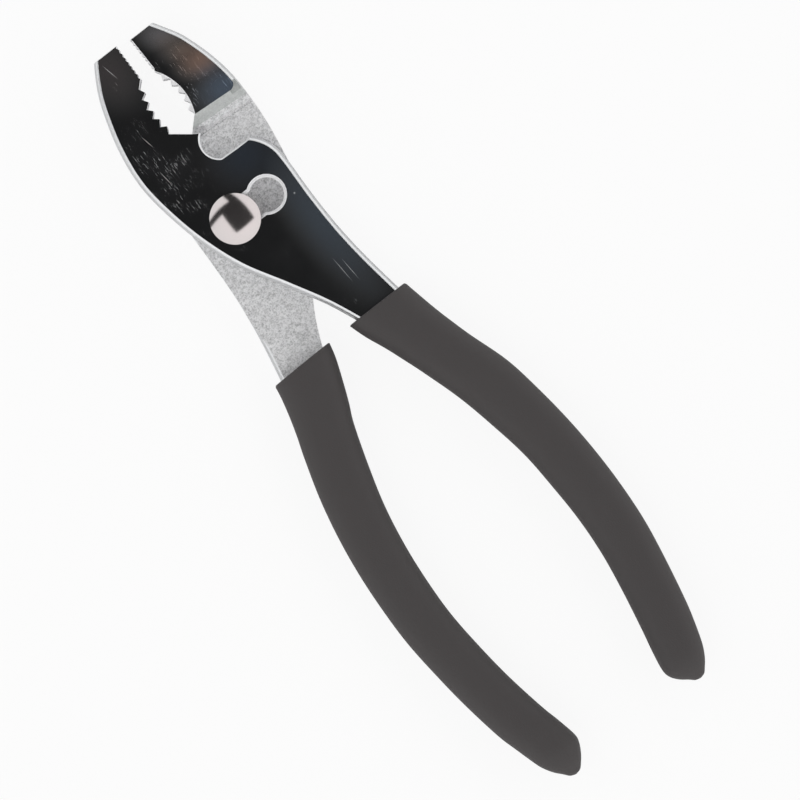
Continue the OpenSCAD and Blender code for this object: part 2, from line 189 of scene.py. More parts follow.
class PliersSizes(bpy.types.PropertyGroup):
    """Sizes in millimetres, and an opening in degrees."""

    jaw_reach: millimetres("Jaw reach", 49.5, "From the bolt's axis to the jaws' tips")
    handle_reach: millimetres("Handle reach", 153.4, "From the bolt's axis to the grips' ends")
    head_w: millimetres("Head width", 31.3, "Across the crossed heads")
    handle_spread: millimetres("Handle spread", 63.3, "Across both handles where they bow most")
    rest_open: degrees("Opening at rest", 4, "Degrees that the rear half stands open")
    forging_t: millimetres("Forging thickness", 10, "Thickness of a half at its jaw")
    shank_t: millimetres("Shank thickness", 7, "Thickness of a half behind the slope")
    draft_w: millimetres("Side slope", 1.15, "How far a side leans in at the face")
    lap_gap: millimetres("Lap gap", 0.2, "Clearance between the lapped halves")
    fine_d: millimetres("Fine tooth depth", 0.35, "Depth of the teeth at the tip")
    pipe_d: millimetres("Coarse tooth depth", 1.15, "Depth of the teeth in the hollow")
    front_hollow: millimetres("Front hollow", 1.2, "Depth of the front jaw's hollow")
    rear_hollow: millimetres("Rear hollow", 1.5, "Depth of the rear jaw's hollow")
    notch_r: millimetres("Notch radius", 4.6, "Radius of the wire notch")
    corner_r: millimetres("Jaw corner radius", 1.8, "Radius at the back of a jaw's lower face")
    ledge_h: millimetres("Ledge height", 1.75, "How far down the ledge of a jaw's step lies")
    ledge_w: millimetres("Ledge width", 0.8, "Width of the ledge of a jaw's step")
    groove_w: millimetres("Groove width", 0.5, "Width of the groove at that step's foot")
    shift: millimetres("Shift", 9.4, "Between the slot's two holes")
    bolt_d: millimetres("Bolt diameter", 8, "Diameter of the bolt's shank")
    flats_w: millimetres("Bolt flats", 6, "Across the flats of the bolt's shank")
    head_d: millimetres("Bolt head diameter", 12.2, "Diameter of the domed head")
    head_h: millimetres("Bolt head height", 1.8, "Height of the domed head")
    rim_h: millimetres("Bolt rim height", 0.35, "Height of the head's edge under the dome")
    slot_rim: millimetres("Slot chamfer", 0.75, "Width of the slot's rim at the face")
    fit: millimetres("Fit", 0.1, "Clearance of the bolt's shank in the slot")
    thread_d: millimetres("Thread diameter", 5.8, "Diameter of the bolt's thread")
    nut_w: millimetres("Nut width", 10, "Across the nut's flats")
    nut_t: millimetres("Nut thickness", 2.4, "Thickness of the nut with its clearance")
    nut_stand: millimetres("Nut stand", 1, "How far the nut stands below the rear half")
    nut_gap: millimetres("Nut gap", 0.25, "Clearance of the nut in its recess")
    grip_w: millimetres("Grip width", 16.7, "Width of a grip at its mouth")
    grip_t: millimetres("Grip thickness", 12, "Thickness of a grip")


class PliersColours(bpy.types.PropertyGroup):
    """Colours as linear values."""

    polished: colour("Polished steel", (0.50, 0.51, 0.53), "Faces of both halves")
    forged: colour("Forged sides", (0.80, 0.81, 0.82), "Sides and chamfers of both halves")
    blasted: colour("Blasted steel", (0.92, 0.92, 0.93), "Laps and shanks")
    machined: colour("Machined steel", (0.95, 0.95, 0.96), "Slot, bores and teeth")
    # painted shade: the steep ramp under a jaw and the jaw's back corner are painted darker
    ground: colour("Ramp shade", (0.60, 0.62, 0.61), "Ramp of the step under a jaw")
    bolt: colour("Bolt", (0.72, 0.67, 0.66), "Domed bolt and nut")
    grip: colour("Grip", (0.066, 0.060, 0.060), "Dipped vinyl of the grips")
    floor: colour("Floor", (0.93, 0.93, 0.93), "Floor that the tool lies on")


def sizes():
    return bpy.context.scene.pliers_sizes


def colours():
    return bpy.context.scene.pliers_colours


# Points and curves


def mix(a, b, t):
    return a + (b - a) * t


def spread(start, sweep, count):
    """Evenly spaced values from a start over a sweep, with both ends."""
    return [start + sweep * k / count for k in range(count + 1)]


def turns(count):
    """Evenly spaced angles round a circle."""
    return [math.tau * k / count for k in range(count)]


def way(angle):
    """The direction at an angle."""
    return Vector((math.cos(angle), math.sin(angle)))


def right_of(line):
    """The direction to the right of another."""
    return Vector((line.y, -line.x))


def head_point(share):
    s = sizes()
    return Vector((share[0] * s.head_w, share[1] * s.jaw_reach))


def curve(rows, steps):
    """A smooth curve through rows of values."""
    last = len(rows) - 1
    out = []
    for i in range(last):
        a, b, c, d = (rows[max(0, min(i + k, last))] for k in (-1, 0, 1, 2))
        for k in range(steps):
            t = k / steps
            out.append(
                tuple(
                    (2 * q + (r - p) * t + (2 * p - 5 * q + 4 * r - w) * t * t
                     + (3 * q - p - 3 * r + w) * t ** 3) / 2
                    for p, q, r, w in zip(a, b, c, d)
                )
            )
    out.append(tuple(rows[last]))
    return out


def drawn_in(points, distance):
    """A closed anticlockwise outline, drawn in by a distance."""
    out = []
    n = len(points)
    for i, p in enumerate(points):
        before = right_of((p - points[i - 1]).normalized())
        after = right_of((points[(i + 1) % n] - p).normalized())
        normal = (before + after).normalized()
        out.append(p - normal * distance / max(normal.dot(after), 0.5))
    return out


def at_height(points, z):
    return [(p[0], p[1], z) for p in points]


# Meshes


def made(name, points, faces, kinds=None, materials=(), place=None):
    """An object of points in millimetres, with a material number for each face."""
    place = place or Matrix()
    mesh = bpy.data.meshes.new(name)
    mesh.from_pydata([place @ Vector(p) for p in points], [], faces)
    for material in materials:
        mesh.materials.append(material)
    if kinds:
        mesh.polygons.foreach_set("material_index", kinds)
    mesh.update()
    obj = bpy.data.objects.new(name, mesh)
    bpy.context.scene.collection.objects.link(obj)
    return obj


def skin(name, rings, kind=0, start_kind=None, end_kind=None, materials=(), place=None):
    """A closed skin over rings, which run anticlockwise when seen from beyond the last one.

    Its kind is one material number, or a list with one for each point of a ring."""
    n = len(rings[0])
    round_kinds = kind if isinstance(kind, list) else [kind] * n
    kind = round_kinds[0]
    points = [p for ring in rings for p in ring]
    faces, kinds = [], []
    for r in range(len(rings) - 1):
        for i in range(n):
            j = (i + 1) % n
            faces.append((r * n + i, r * n + j, (r + 1) * n + j, (r + 1) * n + i))
            kinds.append(round_kinds[i])
    top = (len(rings) - 1) * n
    faces += [tuple(reversed(range(n))), tuple(range(top, top + n))]
    kinds += [kind if start_kind is None else start_kind, kind if end_kind is None else end_kind]
    return made(name, points, faces, kinds, materials, place)


def prism(name, outline, low, high, kind, materials):
    """An upright solid between two heights."""
    return skin(name, [at_height(outline, z) for z in (low, high)], kind, materials=materials)


def pushed(name, outline, angle, length, kind, materials):
    """A prism whose outline is drawn across and upwards, pushed along the level at an angle."""
    turn = math.radians(angle)
    across = Vector((math.cos(turn), math.sin(turn), 0))
    along = Vector((math.sin(turn), -math.cos(turn), 0))
    if sum(a[0] * b[1] - b[0] * a[1] for a, b in zip(outline, outline[1:] + outline[:1])) < 0:
        outline = outline[::-1]
        kind = kind[-2::-1] + kind[-1:] if isinstance(kind, list) else kind
    rings = [
        [across * u + Vector((0, 0, v)) + along * side * length / 2 for u, v in outline]
        for side in (-1, 1)
    ]
    return skin(name, rings, kind, materials=materials)


def settled(obj):
    """Replaces an object's mesh by what its modifiers make of it."""
    bpy.context.view_layer.update()
    graph = bpy.context.evaluated_depsgraph_get()
    mesh = bpy.data.meshes.new_from_object(obj.evaluated_get(graph), depsgraph=graph)
    obj.modifiers.clear()
    old = obj.data
    obj.data = mesh
    bpy.data.meshes.remove(old)
    return obj


def combined(obj, other, operation, crowded=False):
    """Cuts another solid out of this one, or keeps what they share, and drops the other.

    Crowded says that the solids of one object may pass through each other."""
    cut = obj.modifiers.new("cut", "BOOLEAN")
    cut.operation = operation
    cut.solver = "EXACT"
    cut.use_self = crowded
    cut.object = other
    settled(obj)
    spent = other.data
    bpy.data.objects.remove(other)
    bpy.data.meshes.remove(spent)
    return obj


def finished(obj, angle=32):
    """A piece in metres, with smooth faces, and hard edges also where a finish ends."""
    obj.data.transform(Matrix.Scale(0.001, 4))
    obj.data.shade_smooth()
    obj.data.set_sharp_from_angle(angle=math.radians(angle))
    surface = bmesh.new()
    surface.from_mesh(obj.data)
    for edge in surface.edges:
        if len({face.material_index for face in edge.link_faces}) > 1:
            edge.smooth = False
    surface.to_mesh(obj.data)
    surface.free()
    obj.data.name = obj.name
    return obj


# Node trees


def node(tree, kind, inputs=(), **settings):
    """A node with its settings, and with its inputs, by name or number, set or linked."""
    new = tree.nodes.new(kind)
    for setting, value in settings.items():
        setattr(new, setting, value)
    for key, value in dict(inputs).items():
        if isinstance(value, bpy.types.NodeSocket):
            tree.links.new(value, new.inputs[key])
        else:
            new.inputs[key].default_value = value
    return new


def maths(tree, operation, *values):
    """A sum or other step on numbers and sockets."""
    return node(tree, "ShaderNodeMath", enumerate(values), operation=operation).outputs[0]


def product(tree, first, *others):
    for other in others:
        first = maths(tree, "MULTIPLY", first, other)
    return first


def total(tree, first, *others):
    for other in others:
        first = maths(tree, "ADD", first, other)
    return first


def split(tree, vector):
    """The three numbers of a vector, by the names of their axes."""
    return node(tree, "ShaderNodeSeparateXYZ", {0: vector}).outputs


def shared(name, make):
    """A node group that is built once."""
    return bpy.data.node_groups.get(name) or make(name)


# Rows of teeth


def tooth_group(name):
    """Geometry nodes that lay a row of leaning teeth along a bowed line."""
    group = bpy.data.node_groups.new(name, "GeometryNodeTree")
    face = group.interface
    for text, kind in (
        ("Start", "Vector"), ("Bow", "Vector"), ("End", "Vector"), ("Count", "Int"),
        ("Pitch", "Float"), ("Depth", "Float"), ("Point share", "Float"), ("Height", "Float"),
        ("Material", "Material"),
    ):
        face.new_socket(text, in_out="INPUT", socket_type="NodeSocket" + kind)
    face.new_socket("Geometry", in_out="OUTPUT", socket_type="NodeSocketGeometry")
    given, result = node(group, "NodeGroupInput").outputs, node(group, "NodeGroupOutput")
    count, share = given["Count"], given["Point share"]
    pitch, depth = given["Pitch"], given["Depth"]

    # the points of the teeth along the line
    line = node(group, "GeometryNodeCurveQuadraticBezier", {
        "Resolution": 64, "Start": given["Start"], "Middle": given["Bow"], "End": given["End"],
    })
    left_over = maths(group, "DIVIDE", maths(group, "SUBTRACT", 1, share), count)
    part = node(group, "GeometryNodeTrimCurve", {
        "Curve": line.outputs["Curve"], "Start": maths(group, "DIVIDE", share, count),
        "End": maths(group, "SUBTRACT", 1, left_over),
    })
    spots = node(
        group, "GeometryNodeCurveToPoints", {"Curve": part.outputs["Curve"], "Count": count}
    ).outputs
    facing = node(
        group, "FunctionNodeAlignRotationToVector", {"Vector": spots["Tangent"]},
        axis="X", pivot_axis="Z",
    )

    # a three-sided prism, sunk into the jaw, with its point out to the left of the line: its
    # corners lie at 1 and -0.5 across the line and at 0.866 along it, and are taken from there
    steep, raised, widened = 0.9, 0.1, -0.7794
    wedge = node(
        group, "GeometryNodeMeshCylinder", {"Vertices": 3, "Radius": 1, "Depth": given["Height"]}
    )
    at = split(group, node(group, "GeometryNodeInputPosition").outputs[0])
    out = product(group, total(group, product(group, at["X"], steep), raised), depth)
    lean = product(group, maths(group, "SUBTRACT", 0.5, share), pitch)
    back = maths(group, "SUBTRACT", 1, maths(group, "DIVIDE", out, depth))
    across = total(group, product(group, at["Y"], widened, pitch), product(group, lean, back))
    to = node(group, "ShaderNodeCombineXYZ", {"X": across, "Y": out, "Z": at["Z"]})
    tooth = node(
        group, "GeometryNodeSetPosition",
        {"Geometry": wedge.outputs["Mesh"], "Position": to.outputs["Vector"]},
    )

    laid = node(group, "GeometryNodeInstanceOnPoints", {
        "Points": spots["Points"], "Instance": tooth.outputs[0], "Rotation": facing.outputs[0],
    })
    real = node(group, "GeometryNodeRealizeInstances", {"Geometry": laid.outputs["Instances"]})
    steel = node(
        group, "GeometryNodeSetMaterial",
        {"Geometry": real.outputs["Geometry"], "Material": given["Material"]},
    )
    group.links.new(steel.outputs["Geometry"], result.inputs["Geometry"])
    return group


def teeth(start, end, bow, count, depth, share, materials):
    """A baked row of teeth that stop a little short of the lower face."""
    s = sizes()
    group = shared("Row of teeth", tooth_group)
    short = 0.35
    low, high = short - s.forging_t / 2, s.forging_t
    into = right_of((end - start).normalized())

    def at(point):
        return (point.x, point.y, (low + high) / 2)

    obj = made("teeth", [], [])
    row = obj.modifiers.new("row", "NODES")
    row.node_group = group
    values = {
        "Start": at(start), "End": at(end), "Bow": at(mix(start, end, 0.5) + 2 * bow * into),
        "Count": count, "Pitch": (end - start).length / count, "Depth": depth,
        "Point share": share, "Height": high - low, "Material": materials[TOOTHED],
    }
    for item in group.interface.items_tree:
        if item.in_out == "INPUT":
            row[item.identifier] = values[item.name]
    obj.update_tag()
    settled(obj)
    obj.data.materials.clear()
    for material in materials:
        obj.data.materials.append(material)
    obj.data.polygons.foreach_set("material_index", [TOOTHED] * len(obj.data.polygons))
    return obj


# Forgings


def outline(left, right):
    """A closed outline, with no points close to its corners, where drawing in would cross them."""
    steps = 10
    left = [Vector(p) for p in curve([head_point(p) for p in left], steps)]
    right = [Vector(p) for p in curve([head_point(p) for p in right], steps)]
    left = left[:1] + left[3:-3] + left[-1:]
    right = right[:1] + right[3:]
    return left + right + [Vector((right[-1].x, left[0].y))]


def blank(name, left, right, materials):
    """A forging before it is cut, about the lap's plane, with its polished face on top."""
    s = sizes()
    edge = outline(left, right)
    top = s.forging_t / 2
    side, low = SIDE[-1]
    profile = SIDE + [
        (side + (s.draft_w - side) * (1 - math.cos(turn)), low + (top - low) * math.sin(turn))
        for turn in spread(0, math.pi / 2, 4)[1:]
    ]
    levels = [(inset, -z) for inset, z in reversed(profile)] + profile[1:]
    rings = [at_height(drawn_in(edge, inset), z) for inset, z in levels]
    return skin(name, rings, FORGED, POLISHED, POLISHED, materials)


def notch_edge(notch, start):
    """The notch's arc from an angle on, its lip and the straight edge beside it."""
    s = sizes()
    centre = head_point(notch)
    edge_y = NOTCH_EDGE_SHARE * s.jaw_reach
    arc = [
        centre + s.notch_r * way(math.radians(a)) for a in spread(start, NOTCH_END - start, 32)
    ]
    lip = Vector((centre.x - s.notch_r * math.cos(math.radians(LIP_ANGLE)), edge_y))
    return arc + [lip, Vector((s.head_w, edge_y))]


def jaw_cut(jaw, notch, hollow, slant, materials):
    """All that is cut off beyond a jaw's tip and toothed edge, the notch and the straight edge."""
    s = sizes()
    tip, flat_end, high, low, throat = (head_point(p) for p in jaw)
    far = s.jaw_reach + s.head_w
    into = right_of((low - high).normalized())
    pipe = [mix(high, low, t) + into * hollow * 4 * t * (1 - t) for t in spread(0, 1, 24)]
    sunk = right_of((flat_end - tip).normalized()) * s.fine_d
    bare = 0.5 / (FINE_TEETH + 1)
    fine = [mix(tip, flat_end, share) + sunk for share in (bare, 1 - bare)]
    edge = [Vector((-s.head_w, tip.y + (s.head_w + tip.x) * math.tan(math.radians(slant))))]
    edge += [tip] + fine + [flat_end] + pipe + [throat] + notch_edge(notch, NOTCH_START)
    edge += [Vector((s.head_w, far)), Vector((-s.head_w, far))]
    # the cut widens at both faces, which takes the sharpness off the jaw's edges
    top = s.forging_t / 2
    wide, deep, over = 0.12, 0.1, 0.02
    rings = [
        at_height(drawn_in(edge, -out), z)
        for out, z in (
            (wide, -top - OVERRUN), (wide, -top - over), (0, deep - top),
            (0, top - deep), (wide, top + over), (wide, top + OVERRUN),
        )
    ]
    cutter = skin("jaw cut", rings, TOOTHED, materials=materials)
    for row in (
        teeth(*fine, 0, FINE_TEETH, s.fine_d, FINE_POINT_SHARE, materials),
        teeth(high, low, hollow, PIPE_TEETH, s.pipe_d, PIPE_POINT_SHARE, materials),
    ):
        combined(cutter, row, "DIFFERENCE", crowded=True)
    return cutter


def notch_rim(notch, materials):
    """The bright chamfer of the notch at the polished face."""
    s = sizes()
    edge = notch_edge(notch, RIM_START) + [Vector((s.head_w, head_point(notch).y))]
    top = s.forging_t / 2
    wide, deep = 0.35, 0.3
    rings = [
        at_height(drawn_in(edge, -out), z)
        for out, z in ((-0.1, top - deep - 0.1), (0, top - deep), (wide, top), (0.6, top + 0.5))
    ]
    return skin("notch rim", rings, FORGED, materials=materials)


def slope_start(slope_share):
    """Where the slope down to the shank starts, along the way that it runs."""
    s = sizes()
    return slope_share * s.head_w + s.shift * math.cos(math.radians(SLOPE_WAY))


def lap_cuts(notch, slope_share, materials):
    """What is cut away under the polished face, where the other half laps this one."""
    s = sizes()
    lap = s.lap_gap / 2
    top = s.forging_t / 2
    deep = -s.forging_t
    reach = s.head_w + s.jaw_reach
    start = slope_start(slope_share)
    end = start + SLOPE_LENGTH_SHARE * s.head_w
    shank = top - s.shank_t

    def slope():
        line = [(-reach, deep), (-reach, top), (start, top)]
        line += [
            (mix(start, end, t), mix(lap, shank, t * t * (3 - 2 * t))) for t in spread(0, 1, 24)
        ]
        line += [(reach, shank), (reach, deep)]
        return pushed("slope", line, SLOPE_WAY, 2 * reach, BLASTED, materials)

    # the step under the jaw, milled but for the ramp from its ledge to the jaw's lower face
    foot, ledge, high = (share * s.jaw_reach for share in (FOOT_SHARE, LEDGE_SHARE, STEP_SHARE))
    half = s.groove_w / 2
    groove = [
        (foot - half - half * math.cos(a), lap + half * math.sin(a))
        for a in spread(0, math.pi, 8)
    ]
    rise = [(ledge - s.ledge_w, -s.ledge_h), (ledge, -s.ledge_h - s.lap_gap)]
    line = [(-reach, deep), (-reach, lap)] + groove + rise + [(high, -top), (high, deep)]
    kinds = [MILLED] * len(line)
    # the ramp gets the darker colour, painted shade for its steep slope
    kinds[line.index(rise[-1])] = SHADED_RAMP
    step = pushed("step", line, 90, 2 * reach, kinds, materials)

    # the round place about the bolt, which stops short of the jaw
    radius = LAP_SHARE * s.jaw_reach
    circle = [way(a) * radius for a in turns(160)]
    relief = prism("relief", circle, deep, lap, MILLED, materials)
    corner = head_point(notch) + s.notch_r * way(math.radians(NOTCH_START))
    left = corner.x - CLEAR_SHARE * s.head_w
    side = [(left, -reach), (reach, -reach), (reach, reach), (left, reach)]
    combined(relief, prism("block", side, 2 * deep, top, MILLED, materials), "INTERSECT")
    return [combined(step, slope(), "INTERSECT"), combined(relief, slope(), "INTERSECT")]


def slot_cut(materials):
    """The two holes and the waist that the bolt shifts through, chamfered at the face."""
    s = sizes()
    top = s.forging_t / 2

    def ring(grow, z):
        r = s.bolt_d / 2 + s.fit + grow
        bend = math.asin((s.flats_w / 2 + s.fit + grow) / r)
        return [
            (x + r * math.cos(a), r * math.sin(a), z)
            for x, start in ((s.shift, bend - math.pi), (0, bend))
            for a in spread(start, 2 * (math.pi - bend), 48)
        ]

    rim = s.slot_rim
    rings = [ring(rim * grow, top - rim * deep) for grow, deep in SLOT_RIM]
    return skin("slot", [ring(0, -1)] + rings, MACHINED, materials=materials)


def round_cut(radius, low, high, materials):
    """The cutter of a round hole about the bolt's axis."""
    circle = [(math.cos(a) * radius, math.sin(a) * radius) for a in turns(96)]
    return prism("round", circle, low, high, MACHINED, materials)


def easing_cut(left, right, slope_share, materials):
    """What rounds the lower edges of the shank, from the slope down to the end."""
    s = sizes()
    edge = outline(left, right)
    low = s.forging_t / 2 - s.shank_t
    # the rounding's height and width, and how far up the cut goes
    high, wide, upto = 0.7, 0.75, -0.3
    profile = [(low - 0.05, s.draft_w)]
    profile += [
        (low + high * (1 - math.cos(turn)), s.draft_w - wide * math.sin(turn))
        for turn in spread(0, math.pi / 2, 5)[1:]
    ]
    profile += [(upto, -0.3), (s.forging_t, -1)]
    rings = [at_height(drawn_in(edge, inset), z) for z, inset in profile]
    kept = skin("kept", rings, FORGED, materials=materials)
    start = slope_start(slope_share) - 0.5
    reach = s.head_w + s.jaw_reach
    line = [(start, -s.forging_t), (reach, -s.forging_t), (reach, upto), (start, upto)]
    return combined(
        pushed("block", line, SLOPE_WAY, 2 * reach, FORGED, materials), kept, "DIFFERENCE"
    )


def corner_cut(left, right, materials):
    """What rounds the back corner of the jaw's lower face, where it steps down to the lap."""
    s = sizes()
    high, r, depth = STEP_SHARE * s.jaw_reach, s.corner_r, 1.2
    edge = drawn_in(outline(left, right), s.draft_w)
    x = min((p for p in edge if p.x < 0), key=lambda p: abs(p.y - high)).x
    line = [
        Vector((x - OVERRUN, high + r)), Vector((x - OVERRUN, high - 1)), Vector((x + r, high - 1)),
    ]
    line += [
        Vector((x + r - r * math.sin(a), high + r - r * math.cos(a)))
        for a in spread(0, math.pi / 2, 12)
    ]
    # the rounded corner takes the ramp's darker colour of painted shade
    return prism("corner", line, -s.forging_t, depth - s.forging_t / 2, SHADED_RAMP, materials)


def forging(name, left, right, jaw, notch, hollow, slant, slope_share, materials):
    """A half with its jaw, notch, lap and shank, before its holes."""
    obj = blank(name, left, right, materials)
    combined(obj, corner_cut(left, right, materials), "DIFFERENCE")
    combined(obj, jaw_cut(jaw, notch, hollow, slant, materials), "DIFFERENCE")
    for lap in lap_cuts(notch, slope_share, materials):
        combined(obj, lap, "DIFFERENCE")
    combined(obj, notch_rim(notch, materials), "DIFFERENCE")
    return combined(obj, easing_cut(left, right, slope_share, materials), "DIFFERENCE")


def placed(obj, place):
    obj.data.transform(place)
    return obj


def on_lap():
    """From the lap's plane, about which a half is made, up to where it lies."""
    s = sizes()
    return Matrix.Translation((0, 0, s.nut_stand + s.forging_t / 2))


def turned_over():
    """The same for the rear half, which is turned over and opened."""
    return (
        on_lap()
        @ Matrix.Rotation(math.radians(-sizes().rest_open), 4, "Z")
        @ Matrix.Rotation(math.pi, 4, "Y")
    )


# Grips


def grip(name, rows, material, place):
    """A dipped grip: square-cornered sections with a rolled lip at the mouth."""
    s = sizes()
    sides, square, lip = 64, 2.9, 0.45

    def section(row, less=0, back=0):
        along, middle, width, thick, slant = row
        points = []
        for a in turns(sides):
            c, d = math.cos(a), math.sin(a)
            x = math.copysign(abs(c) ** (2 / square), c) * (width * s.grip_w / 2 - less)
            z = math.copysign(abs(d) ** (2 / square), d) * (thick * s.grip_t / 2 - less)
            points.append(
                (middle * s.handle_spread + x, along * s.handle_reach + slant * x - back, z)
            )
        return points

    rows = curve(rows, 6)
    rings = [
        section(rows[0], lip * (1 - math.sin(turn)), lip * (1 - math.cos(turn)))
        for turn in spread(0, math.pi / 2, 5)[:-1]
    ]
    rings += [section(row) for row in rows[1:]]
    return finished(skin(name, rings, materials=[material], place=place), 50)


# Bolt and nut


def lathe(name, profile, material, sides=96):
    """A solid of revolution: radii and heights from the bottom up."""
    rings = [
        [(r * math.cos(a), r * math.sin(a), z) for a in turns(sides)] for r, z in profile
    ]
    return skin(name, rings, materials=[material])


def bolt(material):
    """The bolt, from the end of its thread to its domed head."""
    s = sizes()
    lap_z = s.nut_stand + s.forging_t / 2
    under_head = 0.1
    head_z = s.nut_stand + s.forging_t + under_head
    r = s.head_d / 2
    dome = s.head_h - s.rim_h
    ball = (r * r + dome * dome) / (2 * dome)
    pole = 0.02
    first = math.asin(r / ball)
    profile = [(r - inset, head_z + rise) for inset, rise in ((0.25, 0), (0.07, 0.08), (0, 0.2))]
    for t in spread(0, 1, 24):
        a = first * (1 - t)
        z = head_z + s.head_h - ball * (1 - math.cos(a))
        profile.append((max(ball * math.sin(a), pole), z))
    head = lathe("pivot_bolt_steel", profile, material, 128)

    half = s.flats_w / 2
    bend = math.atan2(half, math.sqrt(s.bolt_d ** 2 / 4 - half ** 2))
    shank = [
        (s.bolt_d / 2 * math.cos(a + side), s.bolt_d / 2 * math.sin(a + side))
        for side in (0, math.pi)
        for a in spread(-bend, 2 * bend, 24)
    ]
    flats = prism("flats", shank, lap_z, head_z, 0, [material])

    r = s.thread_d / 2
    profile = [
        (r - 0.5, 0), (r, 0.4), (r, s.nut_t), (s.bolt_d / 2, s.nut_t), (s.bolt_d / 2, lap_z)
    ]
    return finished(joined(head, flats, lathe("stub", profile, material)), 30)


def joined(first, *others):
    """One mesh of several solids that meet face to face."""
    with bpy.context.temp_override(
        active_object=first, selected_editable_objects=[first, *others]
    ):
        bpy.ops.object.join()
    return first


def nut(material):
    """The hexagon nut, with its corners on the X axis and rounded at both ends."""
    s = sizes()
    flat = s.nut_w / 2
    bore = s.thread_d / 2 + BORE_FIT
    high = s.nut_t - s.nut_gap / 2

    def ring(z, limit):
        points = []
        for a in turns(96):
            off = (a + math.pi / 6) % (math.pi / 3) - math.pi / 6
            r = min(flat / math.cos(math.pi / 6 - abs(off)), limit * flat)
            points.append((r * math.cos(a), r * math.sin(a), z))
        return points

    rings = [
        ring(z, limit)
        for z, limit in ((0, 1), (0.25, 1.09), (0.45, 1.2), (high - 0.3, 1.2), (high, 1.06))
    ]
    obj = skin("pivot_nut_steel", rings, materials=[material])
    hole = lathe(
        "hole", [(bore + 0.9, -0.5), (bore + 0.4, 0), (bore, 0.4), (bore, high + 1)], material
    )
    return finished(combined(obj, hole, "DIFFERENCE"), 30)


# Shader groups


def shader_group(name, inputs, outputs):
    """A new group of number sockets, with its inputs, its outputs and the object's coordinates."""
    group = bpy.data.node_groups.new(name, "ShaderNodeTree")
    for text, value in inputs:
        socket = group.interface.new_socket(text, in_out="INPUT", socket_type="NodeSocketFloat")
        socket.default_value = value
    for text in outputs:
        group.interface.new_socket(text, in_out="OUTPUT", socket_type="NodeSocketFloat")
    given, result = node(group, "NodeGroupInput"), node(group, "NodeGroupOutput")
    place = node(group, "ShaderNodeTexCoord").outputs["Object"]
    return group, given.outputs, result.inputs, place


def group_node(tree, name, make, values):
    """A shared group, placed in a material with its own values."""
    new = node(tree, "ShaderNodeGroup", node_tree=shared(name, make))
    for socket, value in zip(new.inputs, values):
        socket.default_value = value
    return new


def noise(tree, vector, scale, detail=2, roughness=0.5):
    """A noise texture at a number of grains per metre."""
    return node(tree, "ShaderNodeTexNoise", {
        "Vector": vector, "Scale": scale, "Detail": detail, "Roughness": roughness,
    }).outputs["Fac"]


def stretched(tree, vector, scale, turn):
    """Coordinates turned by some degrees about Z and scaled along each axis."""
    return node(tree, "ShaderNodeMapping", {
        "Vector": vector, "Rotation": (0, 0, math.radians(turn)), "Scale": scale,
    }).outputs["Vector"]


def ramped(tree, value, low, high, start=0, end=1):
    """A value taken from one range to another, held at both ends."""
    return node(tree, "ShaderNodeMapRange", {
        "Value": value, "From Min": low, "From Max": high, "To Min": start, "To Max": end,
    }, clamp=True).outputs["Result"]


def square_sum(tree, a, b):
    return total(tree, product(tree, a, a), product(tree, b, b))


def worn_group(name):
    """Fine scratches along the tool, thickest round one spot, and smears."""
    group, given, result, place = shader_group(
        name,
        [("Roughness", 0.1), ("Scratches", 1), ("Smears", 1), ("X", 0), ("Y", 0)],
        ["Roughness", "Height", "Lines"],
    )
    # fine noise drawn out along the tool, in two directions, gives the scratches
    fine = noise(group, stretched(group, place, (7600, 260, 7600), 4), 1, 3, 0.6)
    cross = noise(group, stretched(group, place, (6800, 340, 6800), -9), 1, 2, 0.6)
    lines = maths(
        group, "MAXIMUM", ramped(group, fine, 0.63, 0.72), ramped(group, cross, 0.67, 0.76)
    )
    # they show in patches, more of them close to the given spot
    at = split(group, place)
    aside = maths(group, "SUBTRACT", at["X"], given["X"])
    along = product(group, maths(group, "SUBTRACT", at["Y"], given["Y"]), 0.6)
    away = maths(group, "SQRT", square_sum(group, aside, along))
    near = ramped(group, away, 0.004, 0.014, 0.3, 0)
    patches = total(group, noise(group, place, 170, 3), near)
    lines = product(group, lines, ramped(group, patches, 0.62, 0.85), given["Scratches"])
    smears = ramped(group, noise(group, place, 90, 4, 0.6), 0.4, 0.75, 0, 0.05)
    smears = product(group, smears, given["Smears"])
    rough = total(group, given["Roughness"], smears, product(group, lines, 0.35))
    group.links.new(rough, result["Roughness"])
    group.links.new(product(group, lines, -1), result["Height"])
    group.links.new(lines, result["Lines"])
    return group


def grain_group(name):
    """A blasted or moulded grain, with larger mottling."""
    group, given, result, place = shader_group(
        name, [("Grains per metre", 3000), ("Mottling", 1)], ["Height", "Mottle"]
    )
    fine = noise(group, place, given["Grains per metre"], 3, 0.65)
    broad = noise(group, place, 850, 5, 0.75)
    height = total(group, fine, product(group, broad, given["Mottling"]))
    mottle = total(group, product(group, fine, 0.5), product(group, broad, 0.5))
    group.links.new(height, result["Height"])
    group.links.new(mottle, result["Mottle"])
    return group


def spot_group(name):
    """How far a place lies inside a soft oval spot, or along a thin streak."""
    group, given, result, place = shader_group(
        name,
        [("X", 0), ("Y", 0), ("Half width", 1), ("Half length", 1), ("Slope", 0)],
        ["Mask"],
    )
    at = split(group, place)
    along = maths(group, "SUBTRACT", at["Y"], given["Y"])
    middle = total(group, given["X"], product(group, along, given["Slope"]))
    aside = maths(group, "SUBTRACT", at["X"], middle)
    aside = maths(group, "DIVIDE", aside, given["Half width"])
    along = maths(group, "DIVIDE", along, given["Half length"])
    mask = ramped(group, square_sum(group, aside, along), 0, 1, 1, 0)
    group.links.new(product(group, mask, mask), result["Mask"])
    return group


def spot(tree, x, y, half_width, half_length, slope=0):
    """The mask of a spot whose place and size are in millimetres."""
    values = [value / 1000 for value in (x, y, half_width, half_length)] + [slope]
    return group_node(tree, "Spot", spot_group, values).outputs["Mask"]


